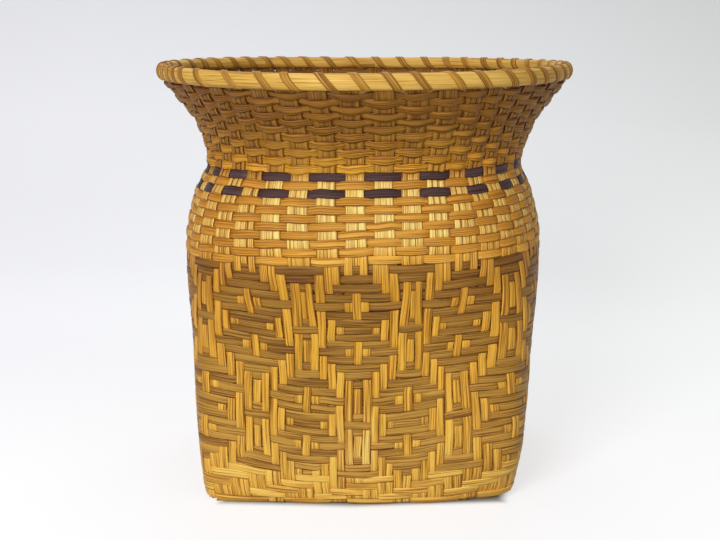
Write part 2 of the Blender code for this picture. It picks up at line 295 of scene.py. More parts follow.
KNOT_HEIGHTS, KNOT_HALVES, KNOT_SQUARES = np.array(WALL_KNOTS).T
SLOPE_HEIGHTS = np.linspace(0, HOOP_BOTTOM, SLOPE_SAMPLES + 1)
SLOPE_HALVES = smooth(SLOPE_HEIGHTS, KNOT_HEIGHTS, KNOT_HALVES)
SLOPE_LENGTHS = np.concatenate(
    [[0], np.cumsum(np.hypot(np.diff(SLOPE_HEIGHTS), np.diff(SLOPE_HALVES)))]
)
ROW_PITCH = (SLOPE_LENGTHS[-1] - ROOM_UNDER_HOOPS) / ROWS
HOOP_ROW = SLOPE_LENGTHS[-1] / ROW_PITCH
TOP_ROW = HOOP_ROW + (HOOP_HEIGHT - STAKE_END_DROP) / ROW_PITCH
BEND_ROW = float(np.interp(BEND_HEIGHT, SLOPE_HEIGHTS, SLOPE_LENGTHS)) / ROW_PITCH
BEND_RADIUS = BEND_HEIGHT - FLOOR_MIDDLE
LOW_ROW = BEND_ROW - (BEND_RADIUS * math.pi / 2 + TURNED_UNDER) / ROW_PITCH


def ring(height, turns):
    """Points round the wall at one height, the length of that round, and its spread."""
    half = float(smooth(height, KNOT_HEIGHTS, KNOT_HALVES))
    squareness = float(smooth(height, KNOT_HEIGHTS, KNOT_SQUARES))
    spread = np.interp(height, SPREAD_HEIGHTS, SPREAD_SHARES)
    angle = np.linspace(0, math.tau, RING_SAMPLES + 1)
    reach = np.abs(np.cos(angle)) ** squareness + np.abs(np.sin(angle)) ** squareness
    reach = half / reach ** (1 / squareness)
    x, y = reach * np.sin(angle), -reach * np.cos(angle)
    lengths = np.concatenate([[0], np.cumsum(np.hypot(np.diff(x), np.diff(y)))])
    bend = SIDE_WAVES * turns
    wave = spread * np.sin(bend) - min(spread, 0) * CORNER_SPREAD_SHARE * np.sin(2 * bend) / 2
    along = ((turns + wave / SIDE_WAVES) % 1) * lengths[-1]
    points = stack(np.interp(along, lengths, x), np.interp(along, lengths, y))
    return points, lengths[-1], float(spread)


def drift(row, turn):
    """How far above even spacing a course sits, in rows."""
    held = np.clip(row, 0, ROWS)
    corner = hump(len(SIDES), math.tau * turn) ** FAN_POWER
    made = smooth(held, CREEP_ROWS, CREEP_STEPS)
    made = made + smooth(np.minimum(held, FAN_ROWS[-1]), FAN_ROWS, FAN_STEPS) * corner
    made = made + smooth(held, TILT_ROWS, TILT_STEPS) * np.sin(math.tau * turn)
    made = made + BACK_RISE * ease(held, *BACK_RISE_ROWS) * hump(1, math.tau * turn)
    return made * between(row, DRIFT_START_ROWS, (ROWS, HOOP_ROW))


def outwards_of(points):
    """Level directions out of a closed ring of points."""
    along = np.roll(points, -1, axis=0) - np.roll(points, 1, axis=0)
    out = stack(along[:, 1], -along[:, 0])
    return out / np.linalg.norm(out, axis=-1, keepdims=True)


def front_edge(points, height):
    """How far the low points near the front stand from their place on an even base."""
    near = ease(-points[:, 1] / BASE_HALF, -1, 1) * (1 - ease(height, 0, FRONT_FADE_HEIGHT))
    x = np.clip(points[:, 0], FRONT_PLACES[0], FRONT_PLACES[-1])
    back = smooth(x, FRONT_PLACES, FRONT_STEPS) * near
    lift = RIGHT_CORNER_LIFT * ease(x, FRONT_PLACES[-2] / 2, FRONT_PLACES[-1]) * near**LIFT_POWER
    return stack(np.zeros(len(x)), back, lift)


def wall_tables():
    """Places on the wall over rows and turns, with each row's length and spread."""
    turns = np.arange(TABLE_TURNS) / TABLE_TURNS
    count = int(math.ceil((TOP_ROW - LOW_ROW) * TABLE_STEPS_PER_ROW)) + 1
    rows = np.linspace(LOW_ROW, TOP_ROW, count)
    places = np.zeros((count, TABLE_TURNS, 3))
    lengths, spreads = np.zeros(count), np.zeros(count)
    for i, row in enumerate(rows):
        height = float(np.interp(max(row, BEND_ROW) * ROW_PITCH, SLOPE_LENGTHS, SLOPE_HEIGHTS))
        points, lengths[i], spreads[i] = ring(height, turns)
        inwards, level = 0.0, height
        if row < BEND_ROW:
            below = (BEND_ROW - row) * ROW_PITCH
            bend = min(below / BEND_RADIUS, math.pi / 2)
            inwards = BEND_RADIUS * (1 - math.cos(bend)) + below - bend * BEND_RADIUS
            level = height - BEND_RADIUS * math.sin(bend)
        if row > HOOP_ROW:
            level = height + (row - HOOP_ROW) * ROW_PITCH
        places[i, :, :2] = points - inwards * outwards_of(points)
        places[i, :, 0] += float(smooth(height, LEAN_HEIGHTS, LEANS))
        sway = saddle(math.tau * turns) * float(ease(row, SADDLE_START_ROW, ROWS))
        places[i, :, 2] = level + sway
        places[i] += front_edge(places[i], height)
    return rows, places, lengths, spreads


TABLE_ROWS, PLACES, RING_LENGTHS, RING_SPREADS = wall_tables()


def wall_directions():
    """The way out of the wall at each place of the tables."""
    along = np.roll(PLACES, -1, axis=1) - np.roll(PLACES, 1, axis=1)
    up = np.gradient(PLACES, axis=0)
    out = np.cross(along, up)
    return out / np.linalg.norm(out, axis=-1, keepdims=True)


DIRECTIONS = wall_directions()


def look_up(table, turn, row):
    """The table's value at a turn and row, between its own steps."""
    across = (np.asarray(turn, float) % 1) * TABLE_TURNS
    left = np.floor(across).astype(int)
    s = (across - left)[..., None]
    left, right = left % TABLE_TURNS, (left + 1) % TABLE_TURNS
    steps = (np.asarray(row, float) - TABLE_ROWS[0]) / (TABLE_ROWS[1] - TABLE_ROWS[0])
    low = np.clip(np.floor(steps).astype(int), 0, len(TABLE_ROWS) - 2)
    t = (steps - low)[..., None]
    bottom = table[low, left] * (1 - s) + table[low, right] * s
    top = table[low + 1, left] * (1 - s) + table[low + 1, right] * s
    return bottom * (1 - t) + top * t


def length_at(row):
    """The length of the wall round the basket at a row."""
    return np.interp(row, TABLE_ROWS, RING_LENGTHS)


def make_warp():
    """Waves that close on themselves round the basket: turns, rows, phase and size."""
    cycles = np.array(WARP_CYCLES)
    rises = rng.uniform(-1, 1, len(cycles)) * (1 + cycles / WARP_RISE_CYCLES)
    return cycles, rises, rng.uniform(0, math.tau, len(cycles)), 1 / np.sqrt(cycles)


def warp_at(warp, turn, row):
    """From about -1 to 1, slowly changing over the wall."""
    made = 0
    for cycles, rise, phase, size in zip(*warp):
        made = made + size * np.sin(math.tau * (cycles * turn + rise * row / ROWS) + phase)
    return made / WARP_SUM


WARPS = [make_warp() for _ in range(3)]


def wall(turn, row, depth):
    """Places on the wall's middle surface, moved outwards by depth."""
    turn, row, depth = np.broadcast_arrays(turn, row, depth)
    free = between(row, *WARP_ROWS) * (1 - UPPER_CALM_SHARE * ease(row, *UPPER_CALM_ROWS))
    side, rise, bump = (warp_at(warp, turn, row) * free for warp in WARPS)
    shift = OUTER_SHIFT * between(row, *SHIFT_ROWS)
    length = length_at(row)
    across, up = side * WARP_TURN, rise * WARP_ROW / ROW_PITCH
    for at, level, pull_side, pull_up, reach, height in PULLS:
        away = (turn - at + 0.5) % 1 - 0.5
        share = np.exp(-((away / reach) ** 2) - ((row - level) / height) ** 2)
        across, up = across + pull_side / length * share, up + pull_up * share
    turn, row = turn + across, row + up
    out = look_up(DIRECTIONS, turn, row)
    out /= np.linalg.norm(out, axis=-1, keepdims=True)
    return look_up(PLACES, turn, row) + out * (depth + shift + bump * WARP_DEPTH)[..., None]


# ---- the weave ----


def weave_sides():
    """For each row and stake, 1 where the weaver is outside and -1 where the stake is."""
    stake, row = np.arange(STAKES), np.arange(ROWS)[:, None]
    edge = (stake + 1) % EDGE_PERIOD < EDGE_OVER
    foot = (stake - 1 + FOOT_SHIFT * (FOOT_ROWS - 1 - row)) % FOOT_PERIOD < FOOT_OVER
    half = TWILL_REPEAT // 2
    away = np.abs((stake + half) % TWILL_REPEAT - half)
    step = np.array(TWILL_STEPS)[np.clip(LOWER_ROWS - 1 - row, 0, TWILL_ROWS - 1)]
    twill = (step - away + 1) % TWILL_PERIOD < TWILL_OVER
    upper = ((stake + 1) // GROUP_STAKES + row - LOWER_ROWS) % 2 == 1
    over = np.select([row == 0, row < FOOT_ROWS, row < LOWER_ROWS], [edge, foot, twill], upper)
    return np.where(over, 1.0, -1.0)


WEAVE = weave_sides()


def waver(count, places, size):
    """Slow random wandering for each of a number of splints; places run from 0 to 1."""
    made = np.zeros((count, len(places)))
    for cycles in WAVER_CYCLES:
        phase = rng.uniform(0, math.tau, (count, 1))
        made += np.sin(math.tau * cycles * places[None, :] + phase) / math.sqrt(cycles)
    return made * size / WAVER_SUM


def stake_width(row):
    return smooth(np.clip(row, 0, ROWS), STAKE_WIDTH_ROWS, STAKE_WIDTHS)


def stake_turn(stake, row):
    """Where a stake's middle is: evenly laid below, and drawn together in threes above."""
    group = np.floor((stake + 1) / GROUP_STAKES)
    in_group = stake - group * GROUP_STAKES
    length = length_at(row)
    spread = np.interp(row, TABLE_ROWS, RING_SPREADS)
    stretch = 1 + spread * np.cos(SIDE_WAVES * group / GROUPS)
    apart = in_group * stake_width(row) * GROUP_GAP_SHARE
    gathered = group / GROUPS + apart / (length * stretch)
    share = ease(row, *GATHER_ROWS)
    twist = TWIST_SHARE * (1 - ease(row, *TWIST_ROWS))
    return stake / STAKES * (1 - share) + gathered * share + twist


def float_shapes(lines):
    """How far the outer floats bow and lean, for splints with their sides given in lines."""
    bows, leans = np.zeros(lines.shape), np.zeros(lines.shape)
    for line, bow, lean in zip(lines, bows, leans):
        starts = [i for i in range(len(line)) if line[i] != line[i - 1]]
        for start, end in zip(starts, starts[1:] + [starts[0] + len(line)]):
            share = (np.arange(end - start) + 0.5) / (end - start)
            places = np.arange(start, end) % len(line)
            bow[places] = np.sin(math.pi * share) * min(end - start, LONGEST_FLOAT) / LONGEST_FLOAT
            slope, shift = rng.normal(0, 1, 2)
            lean[places] = slope * (share - 0.5) * 2 + shift * FLOAT_SHIFT_SHARE
    return bows * (lines > 0), leans


def between_steps(table, line, places, *turning):
    """The table's value along a closed line, straight or smooth between its steps."""
    left = np.floor(places).astype(int)
    share = ease(places - left, *turning) if turning else places - left
    size = table.shape[1]
    return table[line, left % size] * (1 - share) + table[line, (left + 1) % size] * share


# ---- making strips ----


def splint_grid(strips, steps):
    """Flat strips side by side in a grid, each with the same few faces across it."""
    lanes = len(ACROSS_SHARES)
    columns = strips * lanes - 1
    mesh = bmesh.new()
    bmesh.ops.create_grid(mesh, x_segments=steps, y_segments=columns, size=1)
    middles = ((face, (face.calc_center_median().y + 1) / 2 * columns) for face in mesh.faces)
    gaps = [face for face, middle in middles if int(middle) % lanes == lanes - 1]
    bmesh.ops.delete(mesh, geom=gaps, context="FACES")
    return mesh, columns


def close_mesh(mesh, seam=True):
    """Joins the ends of a closed shape, and turns its faces outwards."""
    if seam:
        bmesh.ops.remove_doubles(mesh, verts=mesh.verts, dist=SEAM_REACH)
    bmesh.ops.recalc_face_normals(mesh, faces=mesh.faces)


def fill_data(data, mesh, material):
    """Writes a shape into mesh data, with smooth faces of one material, and frees it."""
    for face in mesh.faces:
        face.smooth = True
    mesh.to_mesh(data)
    mesh.free()
    data.materials.append(material)


def place_object(name, data):
    item = bpy.data.objects.new(name, data)
    bpy.context.scene.collection.objects.link(item)
    return item


def splint_object(name, strips, steps, lay, material, thickness, closed=False):
    """Strips laid by a function of (strip, share across, share along), then thickened."""
    mesh, columns = splint_grid(strips, steps)
    data = bpy.data.meshes.new(name)
    mesh.to_mesh(data)
    mesh.free()
    flat = np.zeros(len(data.vertices) * 3)
    data.vertices.foreach_get("co", flat)
    flat = flat.reshape(-1, 3)
    column = np.rint((flat[:, 1] + 1) / 2 * columns).astype(int)
    strip, cell = np.divmod(column, len(ACROSS_SHARES))
    step = np.rint((flat[:, 0] + 1) / 2 * steps).astype(int)
    across = np.array(ACROSS_SHARES)[cell]
    places, along, spot = lay(strip, across, step)
    data.vertices.foreach_set("co", np.ascontiguousarray(places, np.float32).ravel())
    lanes = stack(along, strip + 0.5 + LANE_SHARE * across)
    for label, values in (("splint", lanes), ("place", spot)):
        paint_map(data, label, values)
    mesh = bmesh.new()
    mesh.from_mesh(data)
    close_mesh(mesh, closed)
    fill_data(data, mesh, material)
    item = place_object(name, data)
    shell = item.modifiers.new("thickness", "SOLIDIFY")
    shell.thickness = thickness
    shell.offset = 0
    return item


def paint_map(data, label, values):
    """A UV map that holds two numbers for each point."""
    corners = np.zeros(len(data.loops), np.int32)
    data.loops.foreach_get("vertex_index", corners)
    layer = data.uv_layers.new(name=label)
    layer.data.foreach_set("uv", np.ascontiguousarray(values[corners], np.float32).ravel())


def dress(item, slot, *nodes):
    """Puts a finished piece on the basket in place of its CAD nodes."""
    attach(item, "root")
    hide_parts(*nodes)


# ---- the pieces ----


def stake_depth(stake, row):
    """How far a stake stands out: in where a weaver passes outside it."""
    course = row - 0.5
    low = np.floor(course).astype(int)
    share = ease(course - low, *CROSSING)
    below = WEAVE[np.clip(low, 0, ROWS - 1), stake % STAKES]
    above = WEAVE[np.clip(low + 1, 0, ROWS - 1), stake % STAKES]
    side = -(below * (1 - share) + above * share)
    bow = between_steps(STAKE_BOWS, stake % STAKES, course)
    upper = ease(row, *UPPER_START_ROWS)
    swing = TWILL_SWING + (UPPER_SWING / 2 - TWILL_SWING) * upper
    return (side * swing + bow * TWILL_BULGE * (1 - upper)) * between(row, *SWING_ROWS)


STAKE_BOWS, STAKE_LEANS = float_shapes(-WEAVE.T)


def make_stakes(number, material):
    """One side's stakes, from where they turn under the base to between the hoops."""
    count = SIDE_STAKES
    first = number * count - count // 2 + 1
    steps = int((TOP_ROW - LOW_ROW) * STAKE_STEPS_PER_ROW)
    wander = waver(count, np.linspace(0, 1, steps + 1), SIDE_WANDER)
    play = rng.uniform(0, 1, count)

    def lay(strip, across, step):
        stake = strip + first
        row = LOW_ROW + (TOP_ROW - LOW_ROW) * step / steps
        length = length_at(row)
        loose = 1 - GATHERED_CALM_SHARE * ease(row, *GATHER_ROWS)
        half = stake_width(row) / 2 * (1 + STAKE_WIDTH_PLAY * (2 * play[strip] - 1))
        middle = stake_turn(stake, row)
        lean = between_steps(STAKE_LEANS, stake % STAKES, row - 0.5) * FLOAT_LEAN
        lean = lean * between(row, *STAKE_LEAN_ROWS)
        turn = middle + (across * half + wander[strip, step] * loose + lean) / length
        drop = STAKE_EDGE_DROP * across**2
        places = wall(turn, row + drift(row, middle), stake_depth(stake, row) - drop)
        return places, row * ROW_PITCH, stack(turn, row / ROWS)

    name = f"{SIDES[number]}_splint_stakes"
    item = splint_object(name, count, steps, lay, material, STAKE_THICKNESS)
    dress(item, "stake_splint", f"{SIDES[number]}_stakes")


def room(row, turn):
    """The width that a course has between its neighbours, in rows, up to one."""
    here, above, below = (at + drift(at, turn) for at in (row, row + 1, row - 1))
    gaps = np.stack([above - here, here - below])
    narrow, wide = gaps.min(axis=0), gaps.max(axis=0)
    return np.minimum(NARROW_GAP_SHARE * narrow + (1 - NARROW_GAP_SHARE) * wide, 1.0)


def make_weavers(name, first_row, count, material):
    """Closed rounds of weaving, one strip for each row."""
    steps = STAKES * WEAVER_STEPS_PER_STAKE
    rounds = np.linspace(0, 1, steps + 1)
    starts = rng.uniform(*SPLICE_TURNS, count)
    stakes = np.arange(-2, STAKES + 3)
    upper = first_row >= LOWER_ROWS
    rise = waver(count, rounds, ROW_WANDER / 2 if upper else ROW_WANDER)
    kinds = [kind for first, *kind in WEAVER_KINDS if first <= first_row]
    share, bulge, drop, swell, hidden = kinds[-1]
    bows, leans = float_shapes(WEAVE[first_row : first_row + count])

    def lay(strip, across, step):
        row = first_row + strip + 0.5
        turn = starts[strip] + rounds[step]
        side, bow, lean = np.zeros((3, len(turn)))
        for number in range(count):
            mine = strip == number
            edges = stake_turn(stakes, row[mine][0])
            at = np.interp(turn[mine] % 1, edges, stakes)
            side[mine] = between_steps(WEAVE, first_row + number, at, *CROSSING)
            bow[mine] = between_steps(bows, number, at)
            lean[mine] = between_steps(leans, number, at)
        crest = np.cos(math.pi * ((turn * GROUPS + 0.5) % 1 - 0.5)) if upper else 0
        outer = np.maximum(side, 0)
        depth = (UPPER_SWING if upper else TWILL_SWING) * side
        depth = depth + bulge * (crest - CREST_MIDDLE) * outer - drop * across**2
        if not upper:
            depth = depth + TWILL_BULGE * bow
        free = room(row, turn)
        width = share * np.maximum(free, LEAST_WIDTH_SHARE)
        width = width * (1 + swell * 2 * (crest - SWELL_MIDDLE) * outer + hidden * (1 - outer))
        depth = depth - CROWDED_TUCK * np.maximum(LEAST_WIDTH_SHARE - free, 0) * across
        play = (rise[strip, step] + lean * FLOAT_LEAN * ease(row, *WEAVER_LEAN_ROWS)) / ROW_PITCH
        up = row + drift(row, turn) + across * width / 2 + play
        places = wall(turn, up, depth)
        length = length_at(row)
        return places, turn * length, stack(turn, (row + across / 3) / ROWS)

    return splint_object(name, count, steps, lay, material, WEAVER_THICKNESS, closed=True)


def make_floor(material):
    """The stakes that cross under the basket, each over two and under two of the others."""
    numbers = np.arange(-SIDE_STAKES // 2, SIDE_STAKES // 2 + 1)
    count = len(numbers)
    lanes, last = np.arange(count), count - 1
    steps = count * WEAVER_STEPS_PER_STAKE
    edges = []
    for side in range(len(SIDES)):
        turns = stake_turn(numbers + side * SIDE_STAKES, 0.0)
        edges.append(wall(turns, np.full(count, BEND_ROW), 0) - (0, 0, BEND_HEIGHT))
    front, right, back, left = edges
    starts, ends = np.concatenate([front, left[::-1]]), np.concatenate([back[::-1], right])
    inset = BEND_RADIUS + TURNED_UNDER - FLOOR_LAP
    heights = [edge[:, 2] for edge in (front, back[::-1], left[::-1], right)]
    # The heights of the four corners: front left and right, then back left and right
    corners = [
        (edge[at] + side[at_end]) / 2
        for edge, at_end in zip(heights[:2], (0, last))
        for at, side in zip((0, last), heights[2:])
    ]

    def level(sideways, back_ways):
        """The floor's height at a place, from its four edges, the same for both ways."""
        near, far = (np.interp(sideways, lanes, edge) for edge in heights[:2])
        west, east = (np.interp(back_ways, lanes, edge) for edge in heights[2:])
        u, v = sideways / last, back_ways / last
        low, high = (a * (1 - u) + b * u for a, b in (corners[:2], corners[2:]))
        sides = near * (1 - v) + far * v + west * (1 - u) + east * u
        return sides - (low * (1 - v) + high * v)

    def lay(strip, across, step):
        one_way = strip < count
        lane = np.where(one_way, strip, strip - count)
        start, end = starts[strip], ends[strip]
        length = np.linalg.norm(end - start, axis=-1)
        travel = inset + (length - inset * 2) * step / steps
        middle = start + (end - start) * (travel / length)[:, None]
        backwards = np.interp(middle[:, 1], right[:, 1], lanes)
        crossed = np.where(one_way, backwards, np.interp(middle[:, 0], front[:, 0], lanes))
        sideways, back_ways = np.where(one_way, (lane, crossed), (crossed, lane))
        middle[:, 2] = level(sideways, back_ways)
        left_lane = np.clip(np.floor(crossed).astype(int), 0, count - 2)
        share = ease(crossed - left_lane, *CROSSING)

        def up_at(crossing):
            up = np.where((lane + crossing) % FLOOR_PERIOD < FLOOR_OVER, 1, -1)
            return np.where(one_way, up, -up)

        swing = up_at(left_lane) * (1 - share) + up_at(left_lane + 1) * share
        aside, none = across * STAKE_WIDTHS[0] / 2, np.zeros(len(across))
        places = middle + stack(one_way * aside, ~one_way * aside, none)
        places[:, 2] += FLOOR_MIDDLE + FLOOR_SWING * swing + STAKE_EDGE_DROP * (1 - across**2) / 2
        return places, travel, stack(places[:, 0], none)

    item = splint_object("woven_floor", count * 2, steps, lay, material, STAKE_THICKNESS)
    dress(item, "natural_splint", "base_mat")


def rim_lift(angle):
    """How far the hoops stand above their level place, round the rim."""
    wave = sum(size * np.sin(cycles * angle + phase) for cycles, phase, size in HOOP_WAVES)
    return HOOP_WAVER * (wave / sum(size for *_, size in HOOP_WAVES)) + saddle(angle)


def make_hoop(name, side, rise, material, node):
    """A half-round hoop, its flat side against the uprights."""
    mesh = bmesh.new()
    middle = HOOP_BOTTOM + (HOOP_HEIGHT + rise) / 2
    points = []
    for i in range(HOOP_SECTION_STEPS + 1):
        angle = math.pi * (i / HOOP_SECTION_STEPS - 0.5)
        bow = abs(math.cos(angle)) ** HOOP_ROUNDNESS
        reach = RIM_RADIUS + side * (HOOP_FLAT + HOOP_THICKNESS * bow)
        height = middle + (HOOP_HEIGHT - rise) / 2 * math.sin(angle)
        points.append(mesh.verts.new((0, -reach, height)))
    edges = [mesh.edges.new(pair) for pair in zip(points, points[1:] + points[:1])]
    bmesh.ops.spin(
        mesh,
        geom=points + edges,
        axis=(0, 0, 1),
        cent=(0, 0, 0),
        angle=math.tau,
        steps=HOOP_STEPS,
        use_merge=True,
    )
    close_mesh(mesh)
    for point in mesh.verts:
        turn = math.atan2(point.co.x, -point.co.y)
        point.co.z += float(rim_lift(turn))
        point.co.x += RIM_LEAN
    data = bpy.data.meshes.new(name)
    fill_data(data, mesh, material)
    lay_cane_map(data, middle)
    dress(place_object(name, data), "hoop_cane", node)


def lay_cane_map(data, middle):
    """A map of metres along the hoop and across it, unbroken at the seam."""
    layer = data.uv_layers.new(name="splint")
    for face in data.polygons:
        centre = math.atan2(face.center.x, -face.center.y)
        for corner in face.loop_indices:
            point = data.vertices[data.loops[corner].vertex_index].co
            turn = math.atan2(point.x, -point.y)
            turn += math.tau * round((centre - turn) / math.tau)
            height = (point.z - middle) / HOOP_HEIGHT
            layer.data[corner].uv = (turn * RIM_RADIUS, 0.5 + 2 * LANE_SHARE * height)


def make_lashing(number, material):
    """A splint that winds down outside the hoops and up inside, once for each upright."""
    first = number * LASHING_LOOPS - LASHING_LOOPS // 2
    steps = LASHING_STEPS_PER_LOOP * LASHING_LOOPS - LASHING_STEPS_PER_LOOP // 8
    middle = HOOP_BOTTOM + HOOP_HEIGHT / 2
    tugs = rng.normal(0, BACK_TUG, LASHING_LOOPS + 2) if number else FRONT_TUGS

    def lay(strip, across, step):
        loops = step / LASHING_STEPS_PER_LOOP
        bend = math.tau * (loops + 0.5 / LASHING_LOOPS)
        out, up = -np.sin(bend), -np.cos(bend)
        clear = LASHING_CLEARANCE + LASHING_THICKNESS / 2
        side = np.tanh(out * LASHING_ROUNDING)
        wide = HOOP_FLAT * side + (HOOP_THICKNESS + clear) * out
        high = (HOOP_HEIGHT / 2 + clear) * up
        turns = loops + LASHING_PHASE + LASHING_LEAN_SHARE * np.sin(bend * 2)
        turns = turns + np.interp(loops - OUTSIDE_PHASE, np.arange(len(tugs)), tugs)
        at = (first + turns) / GROUPS
        spread = RIM_SPREAD_SHARE * np.sin(SIDE_WAVES * at) / len(SIDES)
        angle = math.tau * at + spread + across * LASHING_WIDTH / RIM_DIAMETER
        drop = STAKE_EDGE_DROP * across**2
        reach = RIM_RADIUS + wide - drop * out
        height = middle + high - drop * up + rim_lift(angle)
        height = height + INNER_HOOP_RISE * np.maximum(-up, 0) * (1 - side) / 2
        x = RIM_LEAN + reach * np.sin(angle)
        places = stack(x, -reach * np.cos(angle), height)
        length = loops * (HOOP_HEIGHT + HOOP_THICKNESS * 2) * math.pi / 2
        return places, length, stack(at, np.ones(len(at)))

    half = ("front", "back")[number]
    item = splint_object(f"{half}_rim_splint", 1, steps, lay, material, LASHING_THICKNESS)
    dress(item, "lashing_splint", f"{half}_rim_lashing")


# ---- materials ----

# What a splint's colour is multiplied by in dark and pale lines, in painted shade at the corners
# and in one painted highlight low in front, and the rows over which the corners' painted shade
# comes and goes
DEEP_TINT = (0.42, 0.28, 0.12, 1)
PALE_TINT = (1.27, 1.38, 1.9, 1)
CORNER_SHADE_TINT = (0.84, 0.74, 0.52, 1)
CORNER_SHADE_POWER = 1.5
CORNER_SHADE_RISE = (27 / ROWS, 34 / ROWS, 0.3, 1.0)
CORNER_SHADE_FALL = (43 / ROWS, 47 / ROWS, 1.0, 0.4)
HIGHLIGHT_TINT = (1.2, 1.19, 1.8, 1)
HIGHLIGHT_PLACE, HIGHLIGHT_REACH, HIGHLIGHT_EDGE = (0.0, 9.5 / ROWS), (0.02, 6.5 / ROWS), (0.4, 1.0)

# Grain: waves along a metre and detail of the fine lines, and lines across a splint, waves
# and detail of the broad grain and the patches
GRAIN_SETTINGS = ("Grain", "Tone", "Patches", "Edges", "Lines")
FINE_GRAIN = (16.0, 3.0)
BROAD_GRAIN = (2.0, 12.0, 2.0)
PATCH_GRAIN = (0.6, 9.0, 1.0)
GRAIN_SPREAD = (0.36, 0.64)
GRAIN_ROUGHNESS = 0.6
LANE_JUMP = 7.3
LINE_POWER, LINE_MIDDLE = 1.4, 0.42
SWATHE_SHARE = 0.4
# How sharply the edges darken, partly wear and partly painted shade, and over which rows that
# darkening grows from its share at the foot to full
EDGE_POWER = 6.0
FOOT_EDGE_ROWS, FOOT_EDGE_SHARE = (2 / ROWS, 8 / ROWS), 0.4
SMOOTHEST, ROUGHER_LINES = 0.44, 0.2
BROAD_RELIEF_SHARE = 0.5
RELIEF_STRENGTH, RELIEF_DEPTH = 0.7, 0.0003
SPLINT_SHINE = 0.35

# Screen colours, from 0 to 255, that change with the row. Besides the splints' own colours they
# hold
# painted shade: the twill and its stakes darken towards the shoulder, and the flare and its stakes
# darken towards the hoops, most on the top rows in the hoops' shadow
STAKE_ZONES = ((0, 238, 180, 72), (5, 242, 184, 70), (21, 234, 172, 52), (30, 212, 150, 36))
STAKE_ZONES += ((32.5, 232, 172, 60), (35, 255, 212, 112), (41.6, 252, 206, 106))
STAKE_ZONES += ((42.6, 204, 144, 44), (46, 164, 114, 32), (54, 154, 102, 26))
TWILL_ZONES = ((5, 202, 150, 58), (15, 190, 140, 48), (24, 167, 118, 33), (31, 150, 102, 23))
SHOULDER_ZONES = ((32, 248, 190, 74), (33, 240, 172, 58), (33.6, 226, 162, 54), (39, 218, 154, 48))
# The flare's darkest top rows are painted shade under the hoops
FLARE_ZONES = ((43, 230, 166, 40), (45, 198, 140, 33), (48, 164, 112, 24), (53, 156, 104, 21))
FLARE_ZONES += ((54, 140, 92, 18),)


def linear(red, green, blue):
    """A screen colour, from 0 to 255, as the light it stands for."""
    return (*(((value / 255 + 0.055) / 1.055) ** 2.4 for value in (red, green, blue)), 1.0)


def feed(socket, value):
    """Links a socket to another one, or sets its value."""
    if isinstance(value, bpy.types.NodeSocket):
        socket.id_data.links.new(value, socket)
    else:
        socket.default_value = value


def add_node(tree, kind, inputs=None, **settings):
    """A shader node, its settings, and its inputs either linked or set."""
    node = tree.nodes.new("ShaderNode" + kind)
    for name, value in settings.items():
        setattr(node, name, value)
    for key, value in (inputs or {}).items():
        feed(node.inputs[key], value)
    return node


def maths(tree, operation, a, b=0.0, clamp=False):
    return add_node(tree, "Math", {0: a, 1: b}, operation=operation, use_clamp=clamp).outputs[0]


def sums(tree):
    """Functions that multiply, add and subtract in one node tree."""
    return (partial(maths, tree, kind) for kind in ("MULTIPLY", "ADD", "SUBTRACT"))


def stretch(tree, value, start, end, low=0.0, high=1.0, kind="LINEAR"):
    """A value from between start and end to between low and high, held there."""
    inputs = {0: value, 1: start, 2: end, 3: low, 4: high}
    return add_node(tree, "MapRange", inputs, interpolation_type=kind).outputs[0]


def blend_colours(tree, share, a, b, mode="MIX"):
    settings = {"data_type": "RGBA", "clamp_factor": True, "clamp_result": True}
    return add_node(tree, "Mix", {0: share, 6: a, 7: b}, blend_type=mode, **settings).outputs[2]


def splint_group():
    """Grain, tone and darkened edges of a split of wood, from its own map of lengths and lanes.
    The edges are darkened partly as wear and partly as painted shade where the splints meet.
    """
    tree = bpy.data.node_groups.new("splint grain", "ShaderNodeTree")
    sockets = (
        ("INPUT", "Vector", ("Lanes",)),
        ("INPUT", "Color", ("Colour", "Deep Tint", "Pale Tint")),
        ("INPUT", "Float", GRAIN_SETTINGS),
        ("OUTPUT", "Color", ("Colour",)),
        ("OUTPUT", "Float", ("Roughness", "Height")),
    )
    for way, kind, names in sockets:
        for name in names:
            tree.interface.new_socket(name, in_out=way, socket_type=f"NodeSocket{kind}")
    given = tree.nodes.new("NodeGroupInput").outputs
    made = tree.nodes.new("NodeGroupOutput").inputs
    times, plus, minus = sums(tree)
    along, crosswise = add_node(tree, "SeparateXYZ", {0: given["Lanes"]}).outputs[:2]
    lane, across = maths(tree, "FLOOR", crosswise), maths(tree, "FRACT", crosswise)
    # Darker towards the edges: partly wear, partly painted shade where the splints meet
    beside = maths(tree, "ABSOLUTE", times(minus(across, 0.5), 1 / LANE_SHARE))
    edge = maths(tree, "POWER", beside, EDGE_POWER)
    fine, broad, patch = (
        grain_noise(tree, along, across, lane, *grain)
        for grain in ((given["Lines"], *FINE_GRAIN), BROAD_GRAIN, PATCH_GRAIN)
    )
    chance = add_node(tree, "TexWhiteNoise", {"W": lane}, noise_dimensions="1D").outputs["Value"]
    streak = times(minus(maths(tree, "POWER", fine, LINE_POWER), LINE_MIDDLE), given["Grain"])
    swathe = times(minus(broad, 0.5), times(given["Grain"], SWATHE_SHARE))
    blotch = times(minus(patch, 0.5), given["Patches"])
    tone = times(minus(chance, 0.5), given["Tone"])
    depth = plus(plus(streak, swathe), plus(blotch, tone))
    deeper = plus(depth, times(edge, given["Edges"]), clamp=True)
    paler = times(depth, -1.0, clamp=True)
    colour = blend_colours(tree, deeper, given["Colour"], given["Deep Tint"], "MULTIPLY")
    colour = blend_colours(tree, paler, colour, given["Pale Tint"], "MULTIPLY")
    feed(made["Colour"], colour)
    feed(made["Roughness"], plus(times(fine, ROUGHER_LINES), SMOOTHEST))
    feed(made["Height"], plus(fine, times(broad, BROAD_RELIEF_SHARE)))
    return tree


